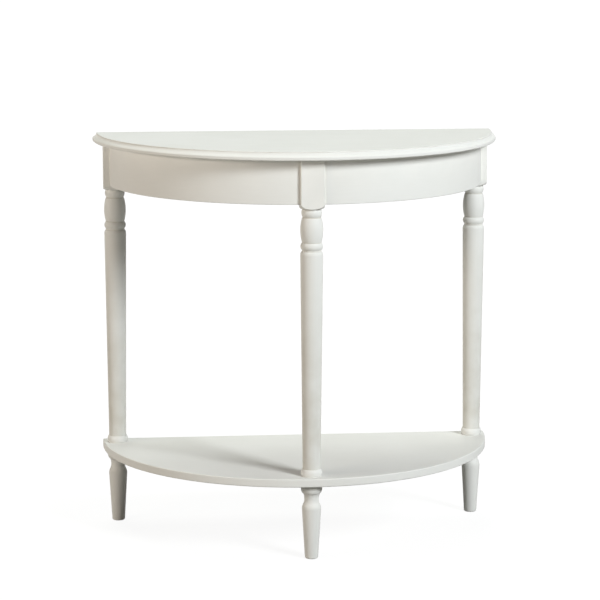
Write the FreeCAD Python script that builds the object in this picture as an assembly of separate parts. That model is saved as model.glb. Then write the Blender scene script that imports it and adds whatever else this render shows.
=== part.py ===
import FreeCAD, Part
import math
import os

# Half-round entryway table in millimetres: a moulded top, a curved apron in two lengths,
# three turned legs, a half-round shelf and three turned feet, with the joinery that holds them.
# The origin is on the floor under the middle of the table's depth. +Z is up, the round front
# faces -Y and the straight back edge, which stands against a wall, faces +Y.

V = FreeCAD.Vector

# Overall sizes
table_height = 780.0
top_radius = 400.0

# Top and its moulded edge
top_thickness = 16.0
edge_flat_set_in = 8.0  # the flat ends this far inside the nose
edge_quirk = 1.5  # small step down where the flat ends
edge_nose_drop = 11.0  # the nose starts this far below the flat
edge_nose_handle = 3.0  # how long the hollow keeps the nose's direction as it ends
edge_hollow_handle = 5.0  # how long the hollow keeps its direction as it starts
edge_lead = 0.8  # how far the hollow leans outwards over that length
edge_round = 2.0  # rounding under the nose
back_arris = 1.0  # rounding of the straight back edge

# Apron and back rail
apron_overhang = 28.0  # widest line of the top to the apron's face
apron_thickness = 18.0
apron_height = 85.0
apron_arris = 1.5  # rounding of the lower edges
rail_thickness = 18.0
rail_set_in = 3.0  # back of the leg blocks to the rail's back face

# Leg stock and where it stands
leg_stock = 45.0
leg_arris = 1.5  # rounding of the block's four edges
front_leg_proud = 6.0  # front block stands this far proud of the apron
rear_leg_reveal = 12.4  # rear block shows this much outside the apron
rear_leg_set_in = 8.5  # back of the rear block to the back edge of the top

# Turned part of a leg, from the square block downwards
block_length = 94.0
pommel_height = 15.0
bead_height = 15.0
bead_diameter = 39.0
bead_root_diameter = 35.0
neck_height = 2.0
neck_diameter = 34.0
vase_height = 46.5
vase_diameter = 43.0
vase_end_diameter = 36.5
ring_height = 14.0
ring_diameter = 42.5
quirk_height = 2.5
quirk_diameter = 37.0
shaft_shoulder = 7.5
shaft_top_diameter = 43.0
shaft_bottom_diameter = 34.0
collar_height = 13.5
collar_diameter = 40.5
collar_root_diameter = 36.0

# Shelf
shelf_inset = 13.0  # widest line of the top to the shelf's edge
shelf_thickness = 16.0
shelf_back_set_in = 2.0
shelf_arris = 2.0

# Turned foot, from the shelf downwards
foot_height = 145.0
foot_ring_height = 17.0
foot_ring_diameter = 40.5
foot_ring_root_diameter = 35.5
foot_neck_drop = 29.5
foot_neck_diameter = 27.5
foot_belly_drop = 48.5
foot_belly_diameter = 36.5
foot_tip_diameter = 25.5
foot_tip_round = 3.0

# Corner blocks and cleats under the top
block_height = 30.0
block_reach_rail = 60.0
block_reach_apron = 45.0
front_block_width = 120.0
front_block_depth = 23.0
cleat_thickness = 22.0
cleat_length = 90.0
cleat_turn = 45.0  # degrees from the front of the table to the middle of a cleat

# Dowels, screws, inserts and bolts
fit_clearance = 0.1
dowel_diameter = 8.0
dowel_bite = 18.0  # length in each of the two pieces
dowel_edge = 22.0  # from the apron's lower and upper edges
dowel_chamfer = 1.0
screw_diameter = 4.0
screw_head_diameter = 8.0
screw_point = 4.0
screw_top_bite = 12.0  # length in the top
screw_side_bite = 14.0  # length in a rail, apron or leg
screw_side_grip = 18.0  # length of wood under a side screw's head
screw_edge = 12.0  # screw to the glued face of its block
screw_side_share = 0.6  # where a side screw stands along its block's reach
insert_diameter = 12.0
insert_length = 22.0
bolt_diameter = 8.0
bolt_in_leg = 18.0
bolt_in_foot = 45.0
bolt_chamfer = 1.0

# Places worked out from the sizes above
back_y = top_radius / 2
plan_centre = V(0, back_y, 0)
apron_radius = top_radius - apron_overhang
apron_inner_radius = apron_radius - apron_thickness
apron_middle_radius = apron_radius - apron_thickness / 2
shelf_radius = top_radius - shelf_inset
shelf_bottom = foot_height
shelf_top = shelf_bottom + shelf_thickness
under_top = table_height - top_thickness
apron_bottom = under_top - apron_height
block_bottom = under_top - block_height
stock_half = leg_stock / 2
front_leg_y = back_y - apron_radius - front_leg_proud + stock_half
rear_leg_y = back_y - rear_leg_set_in - stock_half
rear_joint_y = rear_leg_y - stock_half
rail_back_y = back_y - rear_leg_set_in - rail_set_in
rail_front_y = rail_back_y - rail_thickness
up = V(0, 0, 1)


def across(radius, y):
    """Half width of a circle about the plan centre at depth y."""
    return math.sqrt(radius ** 2 - (back_y - y) ** 2)


def ahead(radius, x):
    """Depth at which a circle about the plan centre reaches half width x, on the front side."""
    return back_y - math.sqrt(radius ** 2 - x ** 2)


rear_leg_x = across(apron_radius, rear_joint_y) + rear_leg_reveal - stock_half
rear_inner_x = rear_leg_x - stock_half
leg_axes = {
    "front": V(0, front_leg_y, 0),
    "rear_left": V(-rear_leg_x, rear_leg_y, 0),
    "rear_right": V(rear_leg_x, rear_leg_y, 0),
}


# Drawing helpers

def at(radius, z):
    """Point of a turned profile."""
    return V(radius, 0, z)


def straight(start, end):
    return Part.makeLine(start, end)


def curve(*poles):
    bezier = Part.BezierCurve()
    bezier.setPoles(list(poles))
    return bezier.toShape()


def arc(start, through, end):
    return Part.Arc(start, through, end).toShape()


def turned(edges, angle=360):
    """Solid turned about the Z axis from a closed profile."""
    return Part.Face(Part.Wire(edges)).revolve(V(0, 0, 0), up, angle)


def board(edges, bottom, height):
    """Flat board of constant thickness from its outline in plan."""
    outline = Part.Face(Part.Wire(edges))
    outline.translate(V(0, 0, bottom))
    return outline.extrude(V(0, 0, height))


def box(x_range, y_range, z_range):
    low = V(min(x_range), min(y_range), min(z_range))
    high = V(max(x_range), max(y_range), max(z_range))
    size = high - low
    return Part.makeBox(size.x, size.y, size.z, low)


def aimed(shape, point, direction):
    """Copy of a shape made along +Z, set at a point and turned to a direction."""
    placed = shape.copy()
    placed.Placement = FreeCAD.Placement(point, FreeCAD.Rotation(up, direction))
    return placed


# Fasteners, each made along +Z, with the hole that takes it

def peg(diameter, length, chamfer):
    """Round rod with both ends chamfered."""
    radius = diameter / 2
    return turned([
        straight(at(0, 0), at(radius - chamfer, 0)),
        straight(at(radius - chamfer, 0), at(radius, chamfer)),
        straight(at(radius, chamfer), at(radius, length - chamfer)),
        straight(at(radius, length - chamfer), at(radius - chamfer, length)),
        straight(at(radius - chamfer, length), at(0, length)),
        straight(at(0, length), at(0, 0)),
    ])


def peg_hole(diameter, length):
    low = V(0, 0, -fit_clearance)
    return Part.makeCylinder(diameter / 2 + fit_clearance, length + 2 * fit_clearance, low)


def wood_screw(length):
    """Countersunk screw with its flat head at zero and its point up."""
    head = screw_head_diameter / 2
    shank = screw_diameter / 2
    return turned([
        straight(at(0, 0), at(head, 0)),
        straight(at(head, 0), at(shank, head - shank)),
        straight(at(shank, head - shank), at(shank, length - screw_point)),
        straight(at(shank, length - screw_point), at(0, length)),
        straight(at(0, length), at(0, 0)),
    ])


def screw_hole(length, bore_behind):
    """Hole of a screw, with a straight bore behind its head to the surface."""
    head = screw_head_diameter / 2 + fit_clearance
    shank = screw_diameter / 2 + fit_clearance
    return turned([
        straight(at(0, -bore_behind), at(head, -bore_behind)),
        straight(at(head, -bore_behind), at(head, 0)),
        straight(at(head, 0), at(shank, head - shank)),
        straight(at(shank, head - shank), at(shank, length + fit_clearance)),
        straight(at(shank, length + fit_clearance), at(0, length + fit_clearance)),
        straight(at(0, length + fit_clearance), at(0, -bore_behind)),
    ])


# Turned legs and feet

def leg_blank():
    """Leg on the Z axis: turned all the way, then squared to the stock so that the pommel shows."""
    corner = leg_stock / math.sqrt(2) + 1
    shoulder_z = under_top - block_length
    bead_end = shoulder_z - bead_height
    neck_end = bead_end - neck_height
    waist_z = neck_end - vase_height
    belly_z = (neck_end + waist_z) / 2
    ring_end = waist_z - ring_height
    quirk_end = ring_end - quirk_height
    shaft_top = quirk_end - shaft_shoulder
    collar_top = shelf_top + collar_height
    bead_root = bead_root_diameter / 2
    neck = neck_diameter / 2
    vase = vase_diameter / 2
    waist = vase_end_diameter / 2
    quirk = quirk_diameter / 2
    shaft = shaft_top_diameter / 2
    ankle = shaft_bottom_diameter / 2
    collar_root = collar_root_diameter / 2
    profile = [
        straight(at(0, shelf_top), at(collar_root, shelf_top)),
        arc(at(collar_root, shelf_top), at(collar_diameter / 2, shelf_top + collar_height / 2),
            at(collar_root, collar_top)),
        straight(at(collar_root, collar_top), at(ankle, collar_top)),
        straight(at(ankle, collar_top), at(shaft, shaft_top)),
        curve(at(shaft, shaft_top), at(shaft, shaft_top + shaft_shoulder / 2),
              at((shaft + quirk) / 2, quirk_end), at(quirk, quirk_end)),
        straight(at(quirk, quirk_end), at(quirk, ring_end)),
        straight(at(quirk, ring_end), at(waist, ring_end)),
        arc(at(waist, ring_end), at(ring_diameter / 2, ring_end + ring_height / 2), at(waist, waist_z)),
        arc(at(waist, waist_z), at(vase, belly_z), at(waist, neck_end)),
        straight(at(waist, neck_end), at(neck, neck_end)),
        straight(at(neck, neck_end), at(neck, bead_end)),
        straight(at(neck, bead_end), at(bead_root, bead_end)),
        arc(at(bead_root, bead_end), at(bead_diameter / 2, bead_end + bead_height / 2),
            at(bead_root, shoulder_z)),
        curve(at(bead_root, shoulder_z), at((bead_root + corner) / 2, shoulder_z),
              at(corner, shoulder_z + pommel_height / 2), at(corner, shoulder_z + pommel_height)),
        straight(at(corner, shoulder_z + pommel_height), at(corner, under_top)),
        straight(at(corner, under_top), at(0, under_top)),
        straight(at(0, under_top), at(0, shelf_top)),
    ]
    square = box((-stock_half, stock_half), (-stock_half, stock_half), (shelf_top, under_top))
    corners = [edge for edge in square.Edges if edge.BoundBox.ZLength > leg_stock]
    return turned(profile).common(square.makeFillet(leg_arris, corners))


def foot_blank():
    """Foot on the Z axis: ring under the shelf, narrow neck, belly and a long taper to the floor."""
    root = foot_ring_root_diameter / 2
    ring_end = foot_height - foot_ring_height
    neck_z = foot_height - foot_neck_drop
    belly_z = foot_height - foot_belly_drop
    neck = foot_neck_diameter / 2
    belly = foot_belly_diameter / 2
    tip = foot_tip_diameter / 2
    sole = tip - foot_tip_round
    bend = foot_tip_round * (1 - math.sqrt(0.5))
    profile = [
        straight(at(0, 0), at(sole, 0)),
        arc(at(sole, 0), at(tip - bend, bend), at(tip, foot_tip_round)),
        straight(at(tip, foot_tip_round), at(belly, belly_z)),
        curve(at(belly, belly_z), at(belly, (belly_z + neck_z) / 2),
              at(neck, (belly_z + neck_z) / 2), at(neck, neck_z)),
        curve(at(neck, neck_z), at(neck, (neck_z + ring_end) / 2),
              at((neck + root) / 2, ring_end), at(root, ring_end)),
        arc(at(root, ring_end), at(foot_ring_diameter / 2, ring_end + foot_ring_height / 2),
            at(root, foot_height)),
        straight(at(root, foot_height), at(0, foot_height)),
        straight(at(0, foot_height), at(0, 0)),
    ]
    return turned(profile)


# Top, shelf, apron and rail

def tabletop():
    """Half-round top turned through half a circle, with a quirk, a hollow and a nose on its edge."""
    flat = top_radius - edge_flat_set_in
    step_z = table_height - edge_quirk
    nose_z = table_height - edge_nose_drop
    bend = edge_round * (1 - math.sqrt(0.5))
    profile = [
        straight(at(0, under_top), at(top_radius - edge_round, under_top)),
        arc(at(top_radius - edge_round, under_top), at(top_radius - bend, under_top + bend),
            at(top_radius, under_top + edge_round)),
        straight(at(top_radius, under_top + edge_round), at(top_radius, nose_z)),
        curve(at(top_radius, nose_z), at(top_radius, nose_z + edge_nose_handle),
              at(flat + edge_lead, step_z - edge_hollow_handle), at(flat, step_z)),
        straight(at(flat, step_z), at(flat, table_height)),
        straight(at(flat, table_height), at(0, table_height)),
        straight(at(0, table_height), at(0, under_top)),
    ]
    top = turned(profile, -180).removeSplitter()
    top.translate(plan_centre)
    back_edges = [edge for edge in top.Edges
                  if edge.BoundBox.YLength < back_arris and edge.BoundBox.XLength > top_radius]
    return top.makeFillet(back_arris, back_edges)


def shelf():
    """Half-round shelf with eased arrises all round."""
    shelf_back_y = back_y - shelf_back_set_in
    end_x = across(shelf_radius, shelf_back_y)
    left = V(-end_x, shelf_back_y, 0)
    right = V(end_x, shelf_back_y, 0)
    front = V(0, back_y - shelf_radius, 0)
    plank = board([arc(left, front, right), straight(right, left)], shelf_bottom, shelf_thickness)
    flat_edges = [edge for edge in plank.Edges if edge.BoundBox.ZLength < shelf_arris]
    return plank.makeFillet(shelf_arris, flat_edges)


def eased_below(plank):
    """Apron or rail with its two long lower edges rounded."""
    low_edges = [edge for edge in plank.Edges
                 if edge.BoundBox.ZMax < apron_bottom + apron_arris and edge.Length > leg_stock]
    return plank.makeFillet(apron_arris, low_edges)


def apron(side):
    """Curved apron from the front block to a rear block, on the left (-1) or the right (1)."""
    lift = V(0, back_y, apron_bottom)
    ring = Part.makeCylinder(apron_radius, apron_height, lift)
    ring = ring.cut(Part.makeCylinder(apron_inner_radius, apron_height, lift))
    span = box((side * stock_half, side * top_radius), (-back_y, rear_joint_y), (apron_bottom, under_top))
    return eased_below(ring.common(span))


def back_rail():
    plank = box((-rear_inner_x, rear_inner_x), (rail_front_y, rail_back_y), (apron_bottom, under_top))
    return eased_below(plank)


# Corner blocks and cleats that tie the frame and hold the top

def rear_corner_block(side):
    """Block glued to the rail, the rear leg and the apron."""
    reach_y = rear_joint_y - block_reach_apron
    middle_y = rear_joint_y - block_reach_apron / 2
    rail_end = V(side * (rear_inner_x - block_reach_rail), rail_front_y, 0)
    leg_back = V(side * rear_inner_x, rail_front_y, 0)
    leg_corner = V(side * rear_inner_x, rear_joint_y, 0)
    apron_start = V(side * across(apron_inner_radius, rear_joint_y), rear_joint_y, 0)
    apron_middle = V(side * across(apron_inner_radius, middle_y), middle_y, 0)
    apron_end = V(side * across(apron_inner_radius, reach_y), reach_y, 0)
    return board([
        straight(rail_end, leg_back),
        straight(leg_back, leg_corner),
        straight(leg_corner, apron_start),
        arc(apron_start, apron_middle, apron_end),
        straight(apron_end, rail_end),
    ], block_bottom, block_height)


def front_corner_block():
    """Saddle behind the front leg, glued to it and to both aprons."""
    half = front_block_width / 2
    middle = (half + stock_half) / 2
    leg_rear_y = front_leg_y + stock_half
    rear_y = leg_rear_y + front_block_depth
    edges = [
        straight(V(-half, rear_y, 0), V(half, rear_y, 0)),
        straight(V(-stock_half, leg_rear_y, 0), V(stock_half, leg_rear_y, 0)),
    ]
    for side in (-1, 1):
        outer = V(side * half, ahead(apron_inner_radius, half), 0)
        inner = V(side * stock_half, ahead(apron_inner_radius, stock_half), 0)
        through = V(side * middle, ahead(apron_inner_radius, middle), 0)
        edges.append(straight(V(side * half, rear_y, 0), outer))
        edges.append(arc(outer, through, inner))
        edges.append(straight(inner, V(side * stock_half, leg_rear_y, 0)))
    return board(Part.__sortEdges__(edges), block_bottom, block_height)


def cleat_angle(distance):
    """Angle in degrees that a distance takes up along the apron's inner face."""
    return math.degrees(distance / apron_inner_radius)


def on_cleat(side, turn, radius):
    """Point at a radius, turned from the middle of an apron's cleat."""
    angle = math.radians(cleat_turn + turn)
    return V(side * radius * math.sin(angle), back_y - radius * math.cos(angle), 0)


def apron_cleat(side):
    """Curved cleat glued inside the middle of an apron."""
    half = cleat_angle(cleat_length / 2)
    inner = apron_inner_radius - cleat_thickness
    edges = [
        arc(*(on_cleat(side, turn, apron_inner_radius) for turn in (-half, 0, half))),
        straight(on_cleat(side, half, apron_inner_radius), on_cleat(side, half, inner)),
        arc(*(on_cleat(side, turn, inner) for turn in (half, 0, -half))),
        straight(on_cleat(side, -half, inner), on_cleat(side, -half, apron_inner_radius)),
    ]
    return board(edges, block_bottom, block_height)


def back_rail_cleat():
    half = cleat_length / 2
    return box((-half, half), (rail_front_y - cleat_thickness, rail_front_y), (block_bottom, under_top))


# Where the fasteners go: a point and a direction each

def dowel_heights():
    return (apron_bottom + dowel_edge, under_top - dowel_edge)


def front_dowel_places():
    """Dowels from the sides of the front block into the aprons, along X."""
    y = ahead(apron_middle_radius, stock_half + dowel_bite / 2)
    places = []
    for side in (-1, 1):
        for z in dowel_heights():
            places.append((V(side * (stock_half - dowel_bite), y, z), V(side, 0, 0)))
    return places


def rear_dowel_places():
    """Dowels from the front of the rear blocks into the aprons, along Y."""
    x = across(apron_middle_radius, rear_joint_y - dowel_bite / 2)
    places = []
    for side in (-1, 1):
        for z in dowel_heights():
            places.append((V(side * x, rear_joint_y + dowel_bite, z), V(0, -1, 0)))
    return places


def rail_dowel_places():
    """Dowels from the inner faces of the rear blocks into the rail, along X."""
    y = (rail_back_y + rail_front_y) / 2
    places = []
    for side in (-1, 1):
        for z in dowel_heights():
            places.append((V(side * (rear_inner_x + dowel_bite), y, z), V(-side, 0, 0)))
    return places


def top_screw_places():
    """Screws up through the blocks and cleats into the top."""
    spread = cleat_length / 4
    front_y = front_leg_y + stock_half + front_block_depth - screw_edge
    apron_y = rear_joint_y - screw_edge
    points = [V(spread * end, rail_front_y - cleat_thickness / 2, 0) for end in (-1, 1)]
    for side in (-1, 1):
        points.append(V(side * (front_block_width / 2 - screw_edge), front_y, 0))
        points.append(V(side * (rear_inner_x - screw_edge), rail_front_y - screw_edge, 0))
        points.append(V(side * across(apron_inner_radius - screw_edge, apron_y), apron_y, 0))
        for end in (-1, 1):
            turn = cleat_angle(spread * end)
            points.append(on_cleat(side, turn, apron_inner_radius - cleat_thickness / 2))
    return [(point + V(0, 0, block_bottom), up) for point in points]


def side_screw_places():
    """Screws from the blocks into the rail, the aprons and the front leg."""
    z = under_top - block_height / 2
    leg_rear_y = front_leg_y + stock_half
    places = []
    for side in (-1, 1):
        rail_x = side * (rear_inner_x - block_reach_rail * screw_side_share)
        places.append((V(rail_x, rail_front_y - screw_side_grip, z), V(0, 1, 0)))
        face_y = rear_joint_y - block_reach_apron * screw_side_share
        face = V(side * across(apron_inner_radius, face_y), face_y, 0)
        outward = (face - plan_centre).normalize()
        places.append((face - outward * screw_side_grip + V(0, 0, z), outward))
        leg_x = side * stock_half / 2
        places.append((V(leg_x, leg_rear_y + screw_side_grip, z), V(0, -1, 0)))
    return places


def at_each_leg(z):
    return [(axis + V(0, 0, z), up) for axis in leg_axes.values()]


def leg_insert():
    """Threaded barrel pressed into the end of a leg."""
    bore = Part.makeCylinder(bolt_diameter / 2 + fit_clearance, insert_length)
    return Part.makeCylinder(insert_diameter / 2, insert_length).cut(bore)


# Fastener groups: the solids and the holes they need
dowel_length = 2 * dowel_bite
top_screw_length = block_height + screw_top_bite
side_screw_length = screw_side_grip + screw_side_bite
bolt_length = bolt_in_foot + shelf_thickness + bolt_in_leg
bolt_bottom = shelf_bottom - bolt_in_foot

dowel = peg(dowel_diameter, dowel_length, dowel_chamfer)
dowel_hole = peg_hole(dowel_diameter, dowel_length)
fasteners = {
    "front_dowels": (dowel, dowel_hole, front_dowel_places()),
    "rear_dowels": (dowel, dowel_hole, rear_dowel_places()),
    "back_rail_dowels": (dowel, dowel_hole, rail_dowel_places()),
    "top_screws": (wood_screw(top_screw_length), screw_hole(top_screw_length, fit_clearance),
                   top_screw_places()),
    "block_screws": (wood_screw(side_screw_length), screw_hole(side_screw_length, screw_side_grip),
                     side_screw_places()),
    "leg_inserts": (leg_insert(), peg_hole(insert_diameter, insert_length), at_each_leg(shelf_top)),
    "hanger_bolts": (peg(bolt_diameter, bolt_length, bolt_chamfer), peg_hole(bolt_diameter, bolt_length),
                     at_each_leg(bolt_bottom)),
}

wood = {
    "tabletop": tabletop(),
    "shelf": shelf(),
    "back_rail": back_rail(),
    "front_corner_block": front_corner_block(),
    "back_rail_cleat": back_rail_cleat(),
}
for side_name, side in (("left", -1), ("right", 1)):
    wood[side_name + "_apron"] = apron(side)
    wood[side_name + "_apron_cleat"] = apron_cleat(side)
    wood["rear_" + side_name + "_corner_block"] = rear_corner_block(side)
for leg_name, axis in leg_axes.items():
    wood[leg_name + "_leg"] = aimed(leg_blank(), axis, up)
    wood[leg_name + "_foot"] = aimed(foot_blank(), axis, up)

# Drill every wooden piece for the fasteners that reach it, then write all pieces
holes = [aimed(hole, point, way) for _, hole, places in fasteners.values() for point, way in places]
os.makedirs("parts", exist_ok=True)
for name, piece in wood.items():
    reaching = [hole for hole in holes if hole.BoundBox.intersect(piece.BoundBox)]
    drilled = piece.cut(reaching) if reaching else piece
    drilled.exportStep("parts/" + name + ".step")
for name, (solid, _, places) in fasteners.items():
    group = Part.makeCompound([aimed(solid, point, way) for point, way in places])
    group.exportStep("parts/" + name + ".step")
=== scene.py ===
import math

import bmesh
import bpy
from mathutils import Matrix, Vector


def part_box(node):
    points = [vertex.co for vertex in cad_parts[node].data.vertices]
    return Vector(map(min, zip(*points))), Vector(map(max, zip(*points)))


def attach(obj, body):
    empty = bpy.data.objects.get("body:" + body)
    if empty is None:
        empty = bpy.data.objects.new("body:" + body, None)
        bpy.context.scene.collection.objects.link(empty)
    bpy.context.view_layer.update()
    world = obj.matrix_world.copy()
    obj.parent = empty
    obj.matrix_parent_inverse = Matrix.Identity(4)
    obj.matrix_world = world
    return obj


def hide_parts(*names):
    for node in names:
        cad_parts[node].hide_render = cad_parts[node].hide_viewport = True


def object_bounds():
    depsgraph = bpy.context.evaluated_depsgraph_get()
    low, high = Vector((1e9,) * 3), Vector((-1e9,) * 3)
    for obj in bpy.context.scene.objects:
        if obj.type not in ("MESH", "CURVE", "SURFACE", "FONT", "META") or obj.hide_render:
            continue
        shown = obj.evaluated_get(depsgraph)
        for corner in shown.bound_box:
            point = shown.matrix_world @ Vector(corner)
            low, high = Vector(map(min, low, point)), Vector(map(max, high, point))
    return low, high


# Half-round entryway table: the painted boards, turned legs and feet, bare blocks and screws
# that stand on the frame, with their finishes, and the studio they are shown in. In metres.

bl_info = {
    "name": "Half-Round Entryway Table",
    "version": (1, 0, 0),
    "blender": (4, 5, 0),
    "location": "View3D > Sidebar > Entryway Table",
    "description": "Builds a painted half-round entryway table on its frame",
    "category": "Object",
}

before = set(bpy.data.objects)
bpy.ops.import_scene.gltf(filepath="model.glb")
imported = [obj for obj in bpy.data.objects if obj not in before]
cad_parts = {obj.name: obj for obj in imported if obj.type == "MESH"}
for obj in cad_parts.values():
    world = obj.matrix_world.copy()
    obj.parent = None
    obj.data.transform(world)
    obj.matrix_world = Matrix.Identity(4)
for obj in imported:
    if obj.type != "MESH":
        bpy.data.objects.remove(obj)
cad_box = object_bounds()
MERGE_DISTANCE = 0.00001


# Properties

def length(title, words, size):
    """Length in metres."""
    return bpy.props.FloatProperty(name=title, description=words, default=size, min=0.0, precision=4,
                                   unit="LENGTH")


def share(title, words, value):
    """Number between 0 and 1."""
    return bpy.props.FloatProperty(name=title, description=words, default=value, min=0.0, max=1.0,
                                   subtype="FACTOR")


def count(title, words, number):
    """Number of straight sides or steps."""
    return bpy.props.IntProperty(name=title, description=words, default=number, min=3)


def colour(title, words, rgb):
    """Linear colour."""
    return bpy.props.FloatVectorProperty(name=title, description=words, default=rgb, size=3, min=0.0,
                                         max=1.0, subtype="COLOR")


def angle(title, words, degrees):
    """Angle, which is given here in degrees."""
    return bpy.props.FloatProperty(name=title, description=words, default=math.radians(degrees),
                                   subtype="ANGLE", unit="ROTATION")


def power(title, words, value):
    """Strength of a light, which is in watts for a lamp."""
    return bpy.props.FloatProperty(name=title, description=words, default=value, min=0.0)


class BoardSizes(bpy.types.PropertyGroup):
    """Edges and thicknesses of the boards, where the frame's boxes don't give them"""
    edge_flat_set_in: length("Flat set-in", "From the nose of the top to the end of its flat", 0.008)
    edge_quirk: length("Quirk", "Step down where the flat ends", 0.0015)
    edge_nose_drop: length("Nose drop", "From the flat down to the start of the nose", 0.011)
    edge_nose_handle: length("Hollow end", "How long the hollow keeps the nose's direction", 0.003)
    edge_hollow_handle: length("Hollow start", "How long the hollow keeps its first direction", 0.005)
    edge_lead: length("Hollow lead", "How far the hollow leans outwards over that length", 0.0008)
    edge_round: length("Nose rounding", "Rounding under the nose", 0.002)
    edge_soft: length("Flat rounding", "Rounding under the paint where the flat ends", 0.0005)
    back_arris: length("Back arris", "Rounding of the top's straight back edge", 0.001)
    apron_thickness: length("Apron thickness", "Thickness of the curved aprons", 0.018)
    apron_arris: length("Apron arris", "Rounding of the lower edges of the aprons and the rail", 0.0015)
    shelf_arris: length("Shelf arris", "Rounding of the shelf's edges", 0.002)
    arc_steps: count("Steps round the front", "Straight steps that make up a half-round edge", 240)


class TurningSizes(bpy.types.PropertyGroup):
    """Turned profile of the legs and feet, from the square block down"""
    leg_arris: length("Block arris", "Rounding of the block's four upright edges", 0.0015)
    block_length: length("Block length", "From the top of the leg to the shoulder of its pommel", 0.094)
    pommel_height: length("Pommel height", "From the shoulder to the end of the pommel's curve", 0.015)
    pommel_spare: length("Pommel spare", "How far the pommel's curve runs past the stock's corner", 0.001)
    bead_height: length("Bead height", "Height of the bead under the pommel", 0.015)
    bead_diameter: length("Bead diameter", "Widest diameter of that bead", 0.039)
    bead_root_diameter: length("Bead root", "Diameter where the bead starts and ends", 0.035)
    neck_height: length("Neck height", "Height of the neck under the bead", 0.002)
    neck_diameter: length("Neck diameter", "Diameter of that neck", 0.034)
    vase_height: length("Vase height", "Height of the vase", 0.0465)
    vase_diameter: length("Vase diameter", "Widest diameter of the vase", 0.043)
    vase_end_diameter: length("Vase ends", "Diameter where the vase starts and ends", 0.0365)
    ring_height: length("Ring height", "Height of the ring under the vase", 0.014)
    ring_diameter: length("Ring diameter", "Widest diameter of that ring", 0.0425)
    quirk_height: length("Quirk height", "Height of the groove under the ring", 0.0025)
    quirk_diameter: length("Quirk diameter", "Diameter of that groove", 0.037)
    shaft_shoulder: length("Shaft shoulder", "Height over which the shaft swells to its full width", 0.0075)
    shaft_top_diameter: length("Shaft top", "Diameter of the shaft at its top", 0.043)
    shaft_bottom_diameter: length("Shaft bottom", "Diameter of the shaft at the collar", 0.034)
    collar_height: length("Collar height", "Height of the collar that stands on the shelf", 0.0135)
    collar_diameter: length("Collar diameter", "Widest diameter of the collar", 0.0405)
    collar_root_diameter: length("Collar root", "Diameter where the collar starts and ends", 0.036)
    foot_ring_height: length("Foot ring height", "Height of the ring under the shelf", 0.017)
    foot_ring_root_diameter: length("Foot ring root", "Diameter where that ring starts and ends", 0.0355)
    foot_neck_drop: length("Foot neck drop", "From the shelf to the narrowest line of the foot", 0.0295)
    foot_neck_diameter: length("Foot neck", "Narrowest diameter of the foot", 0.0275)
    foot_belly_drop: length("Foot belly drop", "From the shelf to the widest line of the taper", 0.0485)
    foot_belly_diameter: length("Foot belly", "Widest diameter of the taper", 0.0365)
    foot_tip_diameter: length("Foot tip", "Diameter at the floor, before its rounding", 0.0255)
    foot_tip_round: length("Foot tip rounding", "Rounding round the sole", 0.003)
    sides: count("Sides", "Straight sides round a turned piece", 144)
    crowding: share("Crowding", "How much the sides gather at the corners of the square block", 0.72)


class ScrewSizes(bpy.types.PropertyGroup):
    """Countersunk screws that show from below"""
    head_diameter: length("Head diameter", "Diameter of the flat head", 0.008)
    shank_diameter: length("Shank diameter", "Diameter of the shank", 0.004)
    point: length("Point", "Length of the pointed end", 0.004)
    recess_length: length("Recess length", "Length of each arm-to-arm slot of the cross recess", 0.0048)
    recess_width: length("Recess width", "Width of the slots", 0.0009)
    recess_depth: length("Recess depth", "Depth of the slots", 0.0014)
    sides: count("Sides", "Straight sides round a screw", 32)


class FinishColours(bpy.types.PropertyGroup):
    """Colours of the paint, the bare wood and the plated steel"""
    paint: colour("Paint", "Off-white satin paint", (0.80, 0.80, 0.775))
    # Deep paint gives the mottling and dust, and also darkens the recesses, the quirk and the joints as
    # painted shade
    paint_deep_and_shade: colour("Deep paint", "Paint where it lies thicker or gathers dust", (0.62, 0.60, 0.54))
    # Thin paint lightens the arrises: a painted highlight that also stands for thinner paint there
    paint_thin_and_highlight: colour("Thin paint", "Paint over the arrises, where it is thinnest", (0.86, 0.85, 0.815))
    beech: colour("Beech", "Bare planed beech", (0.60, 0.42, 0.26))
    beech_dark: colour("Beech grain", "Darker grain and flecks of the beech", (0.40, 0.25, 0.14))
    zinc: colour("Zinc", "Zinc plate", (0.62, 0.63, 0.63))
    zinc_dull: colour("Dull zinc", "Zinc plate where it has dulled", (0.42, 0.42, 0.41))


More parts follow.
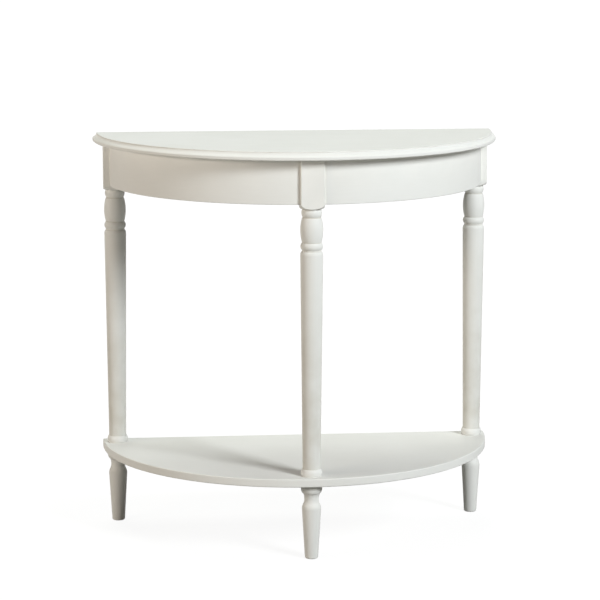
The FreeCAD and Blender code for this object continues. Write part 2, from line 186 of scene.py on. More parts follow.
class StageSettings(bpy.types.PropertyGroup):
    """Camera, lamps and floor"""
    camera_place: bpy.props.FloatVectorProperty(
        name="Camera place", description="Where the camera stands", size=3, subtype="TRANSLATION",
        unit="LENGTH", default=(-0.46272, -4.76425, 1.29012))
    camera_turn: angle("Camera turn", "Turn of the camera to the left", -5.4626)
    camera_tilt: angle("Camera tilt", "Tilt of the camera upwards", -9.7078)
    camera_lens: bpy.props.FloatProperty(name="Lens", description="Focal length for a 36 mm wide picture",
                                         default=150.79, subtype="DISTANCE_CAMERA")
    key_power: power("Key power", "Main lamp at the right front, in watts", 336.0)
    key_colour: colour("Key colour", "Colour of the key lamp", (0.95, 0.985, 1.0))
    fill_power: power("Fill power", "Broad warm lamp low on the left, in watts", 64.0)
    fill_colour: colour("Fill colour", "Colour of the fill lamp", (1.0, 0.90, 0.79))
    back_power: power("Back power", "Broad lamp high up behind, in watts", 139.0)
    back_colour: colour("Back colour", "Colour of the back lamp", (0.95, 1.0, 0.935))
    rim_power: power("Rim power", "Weak lamp low behind, so that the back isn't dark, in watts", 10.0)
    rim_colour: colour("Rim colour", "Colour of the rim lamp", (1.0, 0.97, 0.92))
    room_strength: power("Room strength", "Strength of the light from all round", 0.015)
    room_colour: colour("Room colour", "Colour of the light from all round", (1.0, 0.94, 0.84))
    floor_colour: colour("Floor", "Floor as it lights the table", (0.30, 0.29, 0.27))
    backdrop_share: share("Backdrop share", "Share of the white at the table that is the floor's own light",
                          0.86)
    backdrop_glow: power("Backdrop glow", "Strength of the floor's own light where it is looked at", 1.06)
    shadow_reach: length("Shadow reach", "From the table to where all the white is the floor's own light",
                         0.9)


# Places worked out from the frame

top_low, top_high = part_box("tabletop")
shelf_low, shelf_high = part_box("shelf")
rail_low, rail_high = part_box("back_rail")
apron_low, apron_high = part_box("right_apron")
block_low, block_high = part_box("front_leg")
back_y = top_high.y
top_radius = top_high.x
shelf_radius = back_y - shelf_low.y
stock_half = (block_high.x - block_low.x) / 2
apron_radius = math.hypot(stock_half, back_y - apron_low.y)
rear_joint_y = apron_high.y
CORNERS = ("front", "rear_left", "rear_right")


# Outlines

POMMEL_STEPS = 14
BEAD_STEPS = 14
VASE_STEPS = 24
CURVE_STEPS = 14
TIP_STEPS = 6
ARRIS_STEPS = 4
APRONS_IN_ARC = 3


def bezier(start, first, second, end, steps):
    """Points along a cubic curve, without its first point."""
    points = []
    for step in range(1, steps + 1):
        t = step / steps
        weights = ((1 - t) ** 3, 3 * t * (1 - t) ** 2, 3 * t * t * (1 - t), t ** 3)
        poles = (start, first, second, end)
        points.append(tuple(sum(w * pole[i] for w, pole in zip(weights, poles)) for i in (0, 1)))
    return points


def round_corner(centre, radius, start, end, steps):
    """Points along an arc between two angles in degrees, both ends included."""
    points = []
    for step in range(steps + 1):
        turn = math.radians(start + (end - start) * step / steps)
        points.append((centre[0] + radius * math.cos(turn), centre[1] + radius * math.sin(turn)))
    return points


def bulge(root_diameter, crest_diameter, high, low, steps):
    """Points down a round bead from one root to the other, both included."""
    crest = crest_diameter / 2
    half = (high - low) / 2
    rise = crest - root_diameter / 2
    radius = (half * half + rise * rise) / (2 * rise)
    reach = math.degrees(math.asin(half / radius))
    return round_corner((crest - radius, (high + low) / 2), radius, reach, -reach, steps)


def half_round(radius, start, steps):
    """Points in plan round the front, from a turn past the left end to that turn before the right end."""
    turns = [start + (math.pi - 2 * start) * step / steps for step in range(steps + 1)]
    return [(-radius * math.cos(turn), back_y - radius * math.sin(turn)) for turn in turns]


# Meshes

SHARP = math.radians(38)
EDGE_FROM = math.radians(10)
EDGE_FULL = math.radians(45)


def new_object(name, verts, faces, edges=()):
    """Mesh object at the origin."""
    mesh = bpy.data.meshes.new(name)
    mesh.from_pydata([tuple(v) for v in verts], list(edges), faces)
    obj = bpy.data.objects.new(name, mesh)
    bpy.context.scene.collection.objects.link(obj)
    return obj


def store_vectors(obj, name, vectors):
    """Stores a vector on each vertex."""
    layer = obj.data.attributes.new(name, "FLOAT_VECTOR", "POINT")
    layer.data.foreach_set("vector", [part for vector in vectors for part in vector])


def make_plain(obj):
    """Applies an object's modifiers, so that a plain mesh is left."""
    graph = bpy.context.evaluated_depsgraph_get()
    mesh = bpy.data.meshes.new_from_object(obj.evaluated_get(graph))
    mesh.name = obj.name
    obj.modifiers.clear()
    obj.data = mesh


def face_outwards(obj):
    """Merges doubled points and turns every face outwards."""
    shape = bmesh.new()
    shape.from_mesh(obj.data)
    bmesh.ops.remove_doubles(shape, verts=shape.verts, dist=MERGE_DISTANCE)
    bmesh.ops.recalc_face_normals(shape, faces=shape.faces)
    shape.to_mesh(obj.data)
    shape.free()


def round_edges(obj, width, chosen):
    """Rounds the sharp edges that a test picks."""
    shape = bmesh.new()
    shape.from_mesh(obj.data)
    weight = shape.edges.layers.float.new("bevel_weight_edge")
    for edge in shape.edges:
        edge[weight] = float(edge.calc_face_angle(0.0) > SHARP and chosen(edge))
    shape.to_mesh(obj.data)
    shape.free()
    rounding = obj.modifiers.new("Rounded edges", "BEVEL")
    rounding.limit_method = "WEIGHT"
    rounding.width = width
    rounding.segments = ARRIS_STEPS
    make_plain(obj)


def shade(obj):
    """Smooth shading that keeps sharp corners and lets large flat faces lead."""
    obj.data.shade_smooth()
    obj.data.set_sharp_from_angle(angle=SHARP)
    leading = obj.modifiers.new("Flat faces lead", "WEIGHTED_NORMAL")
    leading.keep_sharp = True
    make_plain(obj)


def edge_share(bend):
    """How far a bend between faces counts as an edge, from 0 to 1."""
    return min(max((bend - EDGE_FROM) / (EDGE_FULL - EDGE_FROM), 0.0), 1.0)


def mark_arrises(obj, deep=None):
    """Stores how far each vertex stands out on an arris or lies in a recess, from 0 to 1; the paint puts a
    painted highlight on the arrises and painted shade in the recesses. A test on its place can name more
    vertices that lie deep and get that painted shade, such as those along a joint."""
    shape = bmesh.new()
    shape.from_mesh(obj.data)
    out = shape.verts.layers.float.new("arris")
    inner = shape.verts.layers.float.new("recess")
    for vert in shape.verts:
        bends = [edge.calc_face_angle_signed(0.0) for edge in vert.link_edges]
        vert[out] = edge_share(max(bends, default=0.0))
        vert[inner] = edge_share(-min(bends, default=0.0))
        if deep and deep(vert.co):
            vert[inner] = 1.0
    shape.to_mesh(obj.data)
    shape.free()


def hand_over(obj, node, material=None, deep=None):
    """Sets a finished piece in the place of its CAD node. Node trees give their pieces a material already."""
    mark_arrises(obj, deep)
    if material:
        obj.data.materials.append(material)
    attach(obj, "root")
    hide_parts(node)


# Node trees

class Wire:
    """Output of a node, which can be reckoned with like a number."""

    def __init__(self, sheet, socket):
        self.sheet = sheet
        self.socket = socket

    def __add__(self, other):
        return self.sheet.maths("ADD", self, other)

    def __sub__(self, other):
        return self.sheet.maths("SUBTRACT", self, other)

    def __rsub__(self, other):
        return self.sheet.maths("SUBTRACT", other, self)

    def __mul__(self, other):
        return self.sheet.maths("MULTIPLY", self, other)

    def __truediv__(self, other):
        return self.sheet.maths("DIVIDE", self, other)

    def __pow__(self, other):
        return self.sheet.maths("POWER", self, other)

    def __gt__(self, other):
        return self.sheet.maths("GREATER_THAN", self, other)


class NodeSheet:
    """Adds nodes to a tree and feeds their sockets, so that a tree reads as a list of steps."""
    SPACING = 190
    CLOUD_RANGE = (0.35, 0.65)

    def __init__(self, tree):
        self.tree = tree

    def feed(self, socket, value):
        """Links a socket to a wire, or to a list of them, or sets its own value."""
        if isinstance(value, Wire):
            value = [value]
        if isinstance(value, list):
            for wire in value:
                self.tree.links.new(wire.socket, socket)
        else:
            socket.default_value = value

    def feed_named(self, node, feeds):
        """Feeds a node's sockets by their names."""
        for name, value in feeds.items():
            self.feed(node.inputs[name], value)

    def add(self, kind, feeds=None, **settings):
        """Adds a node; feeds go by the identifiers of the sockets."""
        node = self.tree.nodes.new(kind)
        node.location.x = self.SPACING * len(self.tree.nodes)
        for key, value in settings.items():
            setattr(node, key, value)
        sockets = {socket.identifier: socket for socket in node.inputs}
        for key, value in (feeds or {}).items():
            self.feed(sockets[key], value)
        return node

    def wire(self, kind, feeds=None, output=0, **settings):
        """Adds a node and gives the wire from its first output, or from the one that is named."""
        return Wire(self, self.add(kind, feeds, **settings).outputs[output])

    def wires(self, node):
        """Wires from all outputs of a node, by name."""
        return {socket.name: Wire(self, socket) for socket in node.outputs}

    def maths(self, operation, *values):
        """Result of an operation on one to three values."""
        node = self.add("ShaderNodeMath", operation=operation)
        for socket, value in zip(node.inputs, values):
            self.feed(socket, value)
        return Wire(self, node.outputs[0])

    def choose(self, test, if_false, if_true):
        """One of two numbers, by a test."""
        return self.wire("GeometryNodeSwitch", {"Switch": test, "False": if_false, "True": if_true},
                         input_type="FLOAT")

    def group(self, name, build, feeds):
        """Places a shader group; its feeds and the wires from it go by the names of the sockets."""
        node = self.add("ShaderNodeGroup", node_tree=tree_named(name, build))
        self.feed_named(node, feeds)
        return self.wires(node)

    def blend(self, factor, first, second):
        """Mix of two colours."""
        node = self.add("ShaderNodeMix", {"Factor_Float": factor, "A_Color": first, "B_Color": second},
                        data_type="RGBA")
        return Wire(self, next(socket for socket in node.outputs if socket.identifier == "Result_Color"))

    def noise(self, place, scale, detail, roughness=0.5):
        """Noise around 0.5."""
        return self.wire("ShaderNodeTexNoise", {"Vector": place, "Scale": scale, "Detail": detail,
                                                "Roughness": roughness}, "Fac")

    def spread(self, value, low, high, to_low=0.0, to_high=1.0):
        """Maps a range of values to another, clamped."""
        return self.wire("ShaderNodeMapRange", {"Value": value, "From Min": low, "From Max": high,
                                                "To Min": to_low, "To Max": to_high}, "Result")

    def clouds(self, place, scale, detail, lowest=0.0):
        """Soft patches, from a lowest value to 1."""
        return self.spread(self.noise(place, scale, detail), *self.CLOUD_RANGE, lowest)

    def bump(self, height, strength, depth):
        """Normal of a surface that is raised by a height."""
        return self.wire("ShaderNodeBump", {"Height": height, "Strength": strength, "Distance": depth})


def open_group(name, kind, inputs, outputs):
    """New node group, whose sockets are named under their kinds: the sheet, the wires from its
    inputs and the sockets of its outputs."""
    tree = bpy.data.node_groups.new(name, kind)
    for side, sockets in (("INPUT", inputs), ("OUTPUT", outputs)):
        for socket_kind, titles in sockets.items():
            for title in titles:
                tree.interface.new_socket(name=title, in_out=side, socket_type="NodeSocket" + socket_kind)
    sheet = NodeSheet(tree)
    given = sheet.wires(sheet.add("NodeGroupInput"))
    return sheet, given, sheet.add("NodeGroupOutput").inputs


def tree_named(name, build):
    """Node tree of that name, built the first time it is asked for."""
    return bpy.data.node_groups.get(name) or build(name)


def open_shape_tree(name, inputs):
    """New tree of geometry nodes that puts out a shape."""
    return open_group(name, "GeometryNodeTree", inputs, {"Geometry": ("Geometry",)})


def close_shape_tree(sheet, given, made, shape):
    """Ends a tree of geometry nodes with a plain shape in the material that it was given."""
    shape = sheet.wire("GeometryNodeRealizeInstances", {"Geometry": shape})
    shape = sheet.wire("GeometryNodeSetMaterial", {"Geometry": shape, "Material": given["Material"]})
    sheet.feed(made["Geometry"], shape)
    return sheet.tree


def run_tree(obj, tree, values):
    """Runs geometry nodes on an object with named inputs and leaves the result as its plain mesh."""
    modifier = obj.modifiers.new(tree.name, "NODES")
    modifier.node_group = tree
    names = {item.name: item.identifier for item in tree.interface.items_tree if item.item_type == "SOCKET"}
    for name, value in values.items():
        modifier[names[name]] = value
    make_plain(obj)
    if obj.data.materials[0] is None:
        obj.data.materials.pop(index=0)


# Turned work: a lathe, with a square block left at the top where the profile says so

TURNED_INPUTS = {
    "Geometry": ("Profile",),
    "Int": ("Sides",),
    "Float": ("Crowding", "Stock Half", "Arris", "Root", "Corner", "Shoulder", "Pommel Height", "Block Top",
              "Sharp Angle"),
    "Vector": ("Place",),
    "Material": ("Material",),
}

# Block shares of rings: where the pommel ends on the stock, the rim of the leg's square top and its middle
ON_STOCK = 1.0
TOP_RIM = 2.0
TOP_MIDDLE = 3.0
STOCK_CORNERS = 4.0


def square_radius(turn, half, arris):
    """Distance from the axis to a square with rounded corners, in the direction of a turn."""
    maths = turn.sheet.maths
    fold = maths("PINGPONG", turn, math.pi / 4)
    cosine = maths("COSINE", fold)
    sine = maths("SINE", fold)
    middle = half - arris
    off_line = middle * (cosine - sine)
    on_line = middle * (cosine + sine)
    left = maths("MAXIMUM", arris ** 2.0 - off_line ** 2.0, 0.0)
    in_corner = fold > maths("ARCTANGENT", middle / half)
    return turn.sheet.choose(in_corner, half / cosine, on_line + maths("SQRT", left))


def turned_work_tree(name):
    """Turns the profile's points about the Z axis. Where a point's block share is above 0 the ring
    follows the pommel up to the square stock, then goes to the rim and the middle of the top."""
    sheet, given, made = open_shape_tree(name, TURNED_INPUTS)
    maths = sheet.maths
    profile = given["Profile"]
    root = given["Root"]
    rings = sheet.wire("GeometryNodeAttributeDomainSize", {"Geometry": profile}, "Point Count")
    columns = given["Sides"] + 1.0
    body = sheet.wire("GeometryNodeMeshGrid", {"Vertices X": rings, "Vertices Y": columns})
    index = sheet.wire("GeometryNodeInputIndex")
    ring = maths("FLOOR", (index + 0.5) / columns)
    column = index - ring * columns

    # Evenly spaced turns, gathered towards the four corners of the stock
    even = column * (2 * math.pi) / given["Sides"]
    turn = even + maths("SINE", even * STOCK_CORNERS) * (given["Crowding"] / STOCK_CORNERS)

    # The point of the profile that this ring follows
    position = sheet.wire("GeometryNodeInputPosition")
    point = sheet.wire("GeometryNodeSampleIndex", {"Geometry": profile, "Value": position, "Index": ring},
                       data_type="FLOAT_VECTOR")
    parts = sheet.wires(sheet.add("ShaderNodeSeparateXYZ", {"Vector": point}))
    marked = sheet.wire("GeometryNodeInputNamedAttribute", {"Name": "block_share"}, data_type="FLOAT")
    block = sheet.wire("GeometryNodeSampleIndex", {"Geometry": profile, "Value": marked, "Index": ring},
                       data_type="FLOAT")

    # The pommel's curve is r = root + reach (1.5 s - 0.5 s^3), z = shoulder + height (1.5 s^2 - 0.5 s^3).
    # The first is solved by s = 2 sin(arcsin((r - root) / reach) / 3).
    square = square_radius(turn, given["Stock Half"], given["Arris"])
    block_radius = root + maths("MINIMUM", block, ON_STOCK) * (square - root)
    part_way = (block_radius - root) / (given["Corner"] - root)
    along = maths("SINE", maths("ARCSINE", part_way) / 3.0) * 2.0
    rise = given["Pommel Height"] * (along ** 2.0 * 1.5 - along ** 3.0 * 0.5)
    pommel_z = given["Shoulder"] + rise
    up_block = maths("MINIMUM", maths("MAXIMUM", block - ON_STOCK, 0.0), 1.0)
    block_z = pommel_z + up_block * (given["Block Top"] - pommel_z)
    closing = maths("MAXIMUM", block - TOP_RIM, 0.0)

    in_block = block > 0.0
    radius = sheet.choose(in_block, parts["X"], block_radius * (1.0 - closing))
    place = sheet.wire("ShaderNodeCombineXYZ", {
        "X": radius * maths("COSINE", turn), "Y": radius * maths("SINE", turn),
        "Z": sheet.choose(in_block, parts["Z"], block_z)})
    body = sheet.wire("GeometryNodeSetPosition", {"Geometry": body, "Position": place})
    body = sheet.wire("GeometryNodeMergeByDistance", {"Geometry": body, "Distance": MERGE_DISTANCE})

    # Smooth, apart from the sharp corners of the turning and the edge of the pommel
    body = sheet.wire("GeometryNodeSetShadeSmooth", {"Geometry": body, "Shade Smooth": True})
    sharp = sheet.wire("GeometryNodeInputMeshEdgeAngle") > given["Sharp Angle"]
    body = sheet.wire("GeometryNodeSetShadeSmooth",
                      {"Geometry": body, "Selection": sharp, "Shade Smooth": False}, domain="EDGE")
    body = sheet.wire("GeometryNodeTransform", {"Geometry": body, "Translation": given["Place"]})
    return close_shape_tree(sheet, given, made, body)


def leg_profile(sizes, low, high):
    """Radius, height and block share of each ring of a leg, from its top down."""
    shoulder = high.z - sizes.block_length
    bead_end = shoulder - sizes.bead_height
    neck_end = bead_end - sizes.neck_height
    vase_end = neck_end - sizes.vase_height
    ring_end = vase_end - sizes.ring_height
    quirk_end = ring_end - sizes.quirk_height
    shaft_top = quirk_end - sizes.shaft_shoulder
    collar_top = low.z + sizes.collar_height
    neck = sizes.neck_diameter / 2
    quirk = sizes.quirk_diameter / 2
    shaft = sizes.shaft_top_diameter / 2

    block = [TOP_MIDDLE, TOP_RIM] + [ON_STOCK - step / POMMEL_STEPS for step in range(POMMEL_STEPS)]
    turned = bulge(sizes.bead_root_diameter, sizes.bead_diameter, shoulder, bead_end, BEAD_STEPS)
    turned += [(neck, bead_end), (neck, neck_end)]
    turned += bulge(sizes.vase_end_diameter, sizes.vase_diameter, neck_end, vase_end, VASE_STEPS)
    turned += bulge(sizes.vase_end_diameter, sizes.ring_diameter, vase_end, ring_end, BEAD_STEPS)[1:]
    turned += [(quirk, ring_end), (quirk, quirk_end)]
    turned += bezier((quirk, quirk_end), ((shaft + quirk) / 2, quirk_end),
                     (shaft, shaft_top + sizes.shaft_shoulder / 2), (shaft, shaft_top), CURVE_STEPS)
    turned += [(sizes.shaft_bottom_diameter / 2, collar_top)]
    turned += bulge(sizes.collar_root_diameter, sizes.collar_diameter, collar_top, low.z, BEAD_STEPS)
    turned += [(0.0, low.z)]
    return [(0.0, high.z, mark) for mark in block] + [(radius, z, 0.0) for radius, z in turned]


def foot_profile(sizes, low, high):
    """Radius, height and block share, which is 0, of each ring of a foot, from the shelf down."""
    root = sizes.foot_ring_root_diameter / 2
    ring_end = high.z - sizes.foot_ring_height
    neck_z = high.z - sizes.foot_neck_drop
    belly_z = high.z - sizes.foot_belly_drop
    neck = sizes.foot_neck_diameter / 2
    belly = sizes.foot_belly_diameter / 2
    tip = sizes.foot_tip_diameter / 2
    bend = sizes.foot_tip_round
    turned = [(0.0, high.z)]
    turned += bulge(sizes.foot_ring_root_diameter, high.x - low.x, high.z, ring_end, BEAD_STEPS)
    turned += bezier((root, ring_end), ((neck + root) / 2, ring_end), (neck, (neck_z + ring_end) / 2),
                     (neck, neck_z), CURVE_STEPS)
    turned += bezier((neck, neck_z), (neck, (belly_z + neck_z) / 2), (belly, (belly_z + neck_z) / 2),
                     (belly, belly_z), CURVE_STEPS)
    turned += round_corner((tip - bend, low.z + bend), bend, 0, -90, TIP_STEPS)
    turned += [(0.0, low.z)]
    return [(radius, z, 0.0) for radius, z in turned]


def turned_pieces(ending, profile, sizes):
    """Turns the three legs or the three feet from their profile."""
    for corner in CORNERS:
        node = corner + ending
        low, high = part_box(node)
        rings = profile(sizes, low, high)
        edges = [(i, i + 1) for i in range(len(rings) - 1)]
        obj = new_object("turned_" + node, [(radius, 0.0, z) for radius, z, _ in rings], [], edges)
        marks = obj.data.attributes.new("block_share", "FLOAT", "POINT")
        marks.data.foreach_set("value", [mark for _, _, mark in rings])
        run_tree(obj, tree_named("Turned Work", turned_work_tree), {
            "Sides": sizes.sides,
            "Crowding": sizes.crowding,
            "Stock Half": stock_half,
            "Arris": sizes.leg_arris,
            "Root": sizes.bead_root_diameter / 2,
            "Corner": stock_half * math.sqrt(2) + sizes.pommel_spare,
            "Shoulder": high.z - sizes.block_length,
            "Pommel Height": sizes.pommel_height,
            "Block Top": high.z,
            "Place": ((low.x + high.x) / 2, (low.y + high.y) / 2, 0.0),
            "Sharp Angle": SHARP,
            "Material": finish("white_paint_turnings"),
        })
        hand_over(obj, node)


# Screws: one countersunk screw with a cross recess, set at every marked point

SCREW_INPUTS = {
    "Geometry": ("Points",),
    "Int": ("Sides",),
    "Float": ("Head Radius", "Shank Radius", "Length", "Point"),
    "Vector": ("Recess",),
    "Material": ("Material",),
}


def screws_tree(name):
    """Sets a screw at every point, head at the point and shank along the point's aim."""
    sheet, given, made = open_shape_tree(name, SCREW_INPUTS)
    head_radius = given["Head Radius"]
    shank_radius = given["Shank Radius"]

    def cone(bottom, top, depth, height):
        """Open cone that starts at a height."""
        shape = sheet.wire("GeometryNodeMeshCone", {
            "Vertices": given["Sides"], "Radius Bottom": bottom, "Radius Top": top, "Depth": depth},
            fill_type="NONE")
        offset = sheet.wire("ShaderNodeCombineXYZ", {"Z": height})
        return sheet.wire("GeometryNodeTransform", {"Geometry": shape, "Translation": offset})

    head_depth = head_radius - shank_radius
    shank_end = given["Length"] - given["Point"]
    face = sheet.wire("GeometryNodeMeshCircle", {"Vertices": given["Sides"], "Radius": head_radius},
                      fill_type="NGON")
    whole = sheet.wire("GeometryNodeJoinGeometry", {"Geometry": [
        sheet.wire("GeometryNodeFlipFaces", {"Mesh": face}),
        cone(head_radius, shank_radius, head_depth, 0.0),
        cone(shank_radius, shank_radius, shank_end - head_depth, head_depth),
        cone(shank_radius, 0.0, given["Point"], shank_end)]})
    closed = sheet.wire("GeometryNodeMergeByDistance", {"Geometry": whole, "Distance": MERGE_DISTANCE})
    slots = []
    for quarter in (0.0, math.pi / 2):
        slot = sheet.wire("GeometryNodeMeshCube", {"Size": given["Recess"]})
        slots.append(sheet.wire("GeometryNodeTransform", {"Geometry": slot, "Rotation": (0.0, 0.0, quarter)}))
    recessed = sheet.wire("GeometryNodeMeshBoolean", {"Mesh 1": closed, "Mesh 2": slots},
                          operation="DIFFERENCE", solver="EXACT")
    aim = sheet.wire("GeometryNodeInputNamedAttribute", {"Name": "aim"}, data_type="FLOAT_VECTOR")
    turned = sheet.wire("FunctionNodeAlignRotationToVector", {"Vector": aim}, axis="Z")
    placed = sheet.wire("GeometryNodeInstanceOnPoints",
                        {"Points": given["Points"], "Instance": recessed, "Rotation": turned})
    return close_shape_tree(sheet, given, made, placed)


def loose_solids(node):
    """Points of each separate solid in a CAD node."""
    shape = bmesh.new()
    shape.from_mesh(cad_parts[node].data)
    bmesh.ops.remove_doubles(shape, verts=shape.verts, dist=MERGE_DISTANCE)
    left = set(shape.verts)
    solids = []
    while left:
        reached = [left.pop()]
        for vert in reached:
            beside = {edge.other_vert(vert) for edge in vert.link_edges} & left
            left -= beside
            reached.extend(beside)
        solids.append([vert.co.copy() for vert in reached])
    shape.free()
    return solids


def screw_place(points):
    """Middle of a screw's head, the direction of its shank and its length."""
    middle = sum(points, Vector()) / len(points)
    tip = max(points, key=lambda point: (point - middle).length)
    aim = (tip - middle).normalized()
    reach = max((tip - point).dot(aim) for point in points)
    return tip - aim * reach, aim, reach


def screws_piece(name, node, sizes):
    """Screws in the places of the solids of a CAD node, which are all of one length."""
    places = [screw_place(points) for points in loose_solids(node)]
    obj = new_object(name, [head for head, _, _ in places], [])
    store_vectors(obj, "aim", [aim for _, aim, _ in places])
    run_tree(obj, tree_named("Countersunk Screws", screws_tree), {
        "Sides": sizes.sides,
        "Head Radius": sizes.head_diameter / 2,
        "Shank Radius": sizes.shank_diameter / 2,
        "Length": places[0][2],
        "Point": sizes.point,
        "Recess": (sizes.recess_length, sizes.recess_width, 2 * sizes.recess_depth),
        "Material": finish("zinc_plate"),
    })
    hand_over(obj, node)


# Boards

def top_edge(sizes):
    """Radius and height along the top's moulded edge: the end of the flat, a quirk, a hollow and a nose."""
    high, low = top_high.z, top_low.z
    flat = top_radius - sizes.edge_flat_set_in
    step_z = high - sizes.edge_quirk
    nose_z = high - sizes.edge_nose_drop
    under = sizes.edge_round
    soft = sizes.edge_soft
    edge = round_corner((flat - soft, high - soft), soft, 90, 0, TIP_STEPS)
    edge += [(flat, step_z)]
    edge += bezier((flat, step_z), (flat + sizes.edge_lead, step_z - sizes.edge_hollow_handle),
                   (top_radius, nose_z + sizes.edge_nose_handle), (top_radius, nose_z), CURVE_STEPS)
    edge += round_corner((top_radius - under, low + under), under, 0, -90, TIP_STEPS)
    return edge


def half_round_top(sizes):
    """Half-round top with a moulded edge round the front and an eased one behind."""
    high, low = top_high.z, top_low.z
    ease = sizes.back_arris
    edge = top_edge(sizes)
    verts = []
    for radius, z in edge:
        left = []
        for out, up in round_corner((0.0, 0.0), ease, 0, 90, ARRIS_STEPS):
            inset, drop = ease - out, ease - up
            eased_z = min(max(z, low + drop), high - drop)
            left.append((-math.sqrt(radius ** 2 - inset ** 2), back_y - inset, eased_z))
        front = half_round(radius, math.asin(ease / radius), sizes.arc_steps)[1:-1]
        verts += left + [(x, y, z) for x, y in front]
        verts += [(-x, y, eased_z) for x, y, eased_z in reversed(left)]
    row = len(verts) // len(edge)
    last = len(verts) - row
    faces = [[ring + i, ring + row + i, ring + row + i + 1, ring + i + 1]
             for ring in range(0, last, row) for i in range(row - 1)]
    for ring in (0, last):
        end = ring + row - 1
        faces += [[ring + i, ring + i + 1, end - i - 1, end - i] for i in range(ARRIS_STEPS)]
        faces.append(list(range(ring + ARRIS_STEPS, ring + row - ARRIS_STEPS)))
    left_end = list(range(0, len(verts), row))
    faces.append(left_end + [i + row - 1 for i in reversed(left_end)])
    obj = new_object("moulded_top", verts, faces)
    face_outwards(obj)
    shade(obj)
    return obj


def board(name, outline, low, high, arris, chosen):
    """Board of an outline in plan, with its sharp edges rounded where a test picks them."""
    size = len(outline)
    verts = [(x, y, z) for z in (low, high) for x, y in outline]
    faces = [[i, (i + 1) % size, (i + 1) % size + size, i + size] for i in range(size)]
    faces += [list(range(size)), list(range(size, 2 * size))]
    obj = new_object(name, verts, faces)
    face_outwards(obj)
    round_edges(obj, arris, chosen)
    shade(obj)
    return obj


def half_round_shelf(sizes):
    """Half-round shelf with eased edges all round."""
    start = math.asin((back_y - shelf_high.y) / shelf_radius)
    outline = half_round(shelf_radius, start, sizes.arc_steps)
    return board("eased_shelf", outline, shelf_low.z, shelf_high.z, sizes.shelf_arris, lambda edge: True)


def plain_rail(sizes):
    """Straight rail behind, with eased lower edges."""
    outline = [(rail_low.x, rail_low.y), (rail_high.x, rail_low.y), (rail_high.x, rail_high.y),
               (rail_low.x, rail_high.y)]
    return board("painted_back_rail", outline, rail_low.z, rail_high.z, sizes.apron_arris, low_edge)


def low_edge(edge):
    """Edge along the bottom of the rail."""
    return all(vert.co.z < rail_low.z + MERGE_DISTANCE for vert in edge.verts)


def in_quirk(place):
    """Along the foot of the quirk of the top, which gets painted shade."""
    step_z = top_high.z - bpy.context.scene.entryway_boards.edge_quirk
    return abs(place.z - step_z) < MERGE_DISTANCE


def at_joint(place):
    """Along the joints of an apron with its two blocks, which get painted shade."""
    front = abs(abs(place.x) - stock_half) < MERGE_DISTANCE
    return front or abs(place.y - rear_joint_y) < MERGE_DISTANCE


def curved_apron(name, side, sizes):
    """Curved apron from the front block to a rear block, on the left (-1) or the right (1)."""
    inner = apron_radius - sizes.apron_thickness
    low, high = apron_low.z, apron_high.z
    arris = sizes.apron_arris
    section = [(apron_radius, high)]
    section += round_corner((apron_radius - arris, low + arris), arris, 0, -90, TIP_STEPS)
    section += round_corner((inner + arris, low + arris), arris, -90, -180, TIP_STEPS)
    section += [(inner, high)]
    steps = sizes.arc_steps // APRONS_IN_ARC
    verts = []
    runs = []
    for step in range(steps + 1):
        for radius, z in section:
            first = math.asin(stock_half / radius)
            last = math.acos((back_y - rear_joint_y) / radius)
            turn = first + (last - first) * step / steps
            verts.append((side * radius * math.sin(turn), back_y - radius * math.cos(turn), z))
            runs.append((side * apron_radius * turn, radius, z))
    row = len(section)
    faces = [[ring + i, ring + (i + 1) % row, ring + row + (i + 1) % row, ring + row + i]
             for ring in range(0, steps * row, row) for i in range(row)]
    faces += [list(range(row)), list(range(steps * row, (steps + 1) * row))]
    obj = new_object(name, verts, faces)
    store_vectors(obj, "apron_run", runs)
    face_outwards(obj)
    shade(obj)
    return obj


# Effects that the finishes share: scales of noise are per metre, tints are shares of the second colour

ACROSS_GRAIN = 9.0
ALONG_X = (1.0, ACROSS_GRAIN, ACROSS_GRAIN)
ALONG_Z = (ACROSS_GRAIN, ACROSS_GRAIN, 1.0)
FINE_DETAIL = 2.0
PATCH_DETAIL = 3.0
RICH_DETAIL = 4.0
STREAK_ROUGHNESS = 0.6
STREAK_RANGE = (0.36, 0.64)
FLECK_FINENESS = 5.0
FLECK_RANGE = (0.58, 0.70)
THINNEST_PATCH = 0.35
PAINT_GRAIN_SCALE = 26.0
PAINT_PATCH_SCALE = 22.0
MOTTLE_SCALE = 7.0
STIPPLE_SCALE = 900.0
MOTTLE_TINT = 0.07
STREAK_TINT = 0.05
RECESS_SHADE_TINT = 0.85
ARRIS_HIGHLIGHT_TINT = 0.60
MOTTLE_ROUGHENS = 0.10
STIPPLE_ROUGHENS = 0.06
ARRIS_SMOOTHS = 0.05
STREAK_RAISES = 0.5


def soft_grain_group(name):
    """Long soft streaks along a board, shared by the paint that covers them and the bare wood."""
    sheet, given, made = open_group(name, "ShaderNodeTree",
                                    {"Vector": ("Place", "Stretch"), "Float": ("Fineness",)},
                                    {"Float": ("Streak", "Fleck")})
    along = sheet.wire("ShaderNodeVectorMath", {"Vector": given["Place"], "Vector_001": given["Stretch"]},
                       operation="MULTIPLY")
    streak = sheet.noise(along, given["Fineness"], RICH_DETAIL, STREAK_ROUGHNESS)
    sheet.feed(made["Streak"], sheet.spread(streak, *STREAK_RANGE))
    fleck = sheet.noise(along, given["Fineness"] * FLECK_FINENESS, FINE_DETAIL)
    sheet.feed(made["Fleck"], sheet.spread(fleck, *FLECK_RANGE))
    return sheet.tree


